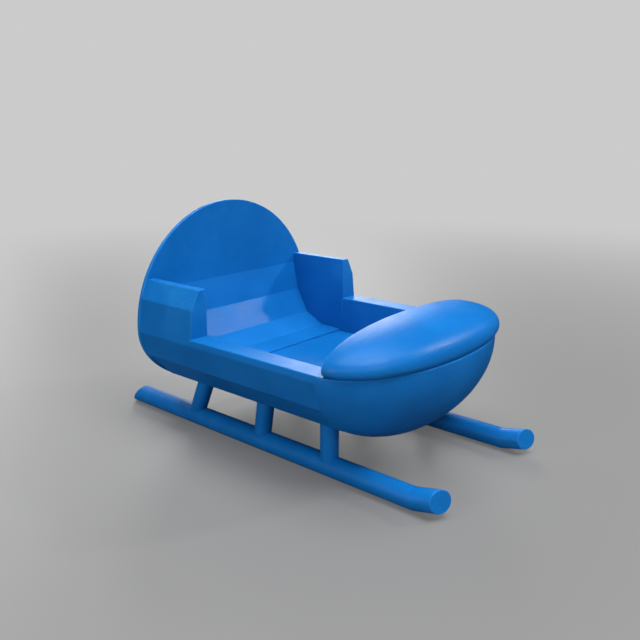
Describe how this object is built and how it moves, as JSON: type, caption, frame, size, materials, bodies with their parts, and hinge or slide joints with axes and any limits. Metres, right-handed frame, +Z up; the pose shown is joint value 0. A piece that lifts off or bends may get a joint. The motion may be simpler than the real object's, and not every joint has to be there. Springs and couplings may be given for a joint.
{
  "type": "toy horse drawn sleigh",
  "caption": "Toy sleigh: open tub with a round back panel, scooped seat, armrests and a domed front cap, on bar runners with leaning struts.",
  "frame": {"origin": "on the ground under the middle of the overall length, on the centre plane", "axes": "+X to the sleigh's front, +Y to its left side, +Z up"},
  "size_m": [0.066, 0.0404, 0.0369],
  "materials": {
    "blue_plastic": "satin"
  },
  "bodies": {
    "root": {"back_panel": "blue_plastic", "floor_pan": "blue_plastic", "seat": "blue_plastic", "nose": "blue_plastic", "front_cap": "blue_plastic", "side_wall_left": "blue_plastic", "side_wall_right": "blue_plastic", "armrest_left": "blue_plastic", "armrest_right": "blue_plastic", "runner_left": "blue_plastic", "runner_right": "blue_plastic", "strut_left_rear": "blue_plastic", "strut_left_middle": "blue_plastic", "strut_left_front": "blue_plastic", "strut_right_rear": "blue_plastic", "strut_right_middle": "blue_plastic", "strut_right_front": "blue_plastic"}
  },
  "joints": []
}
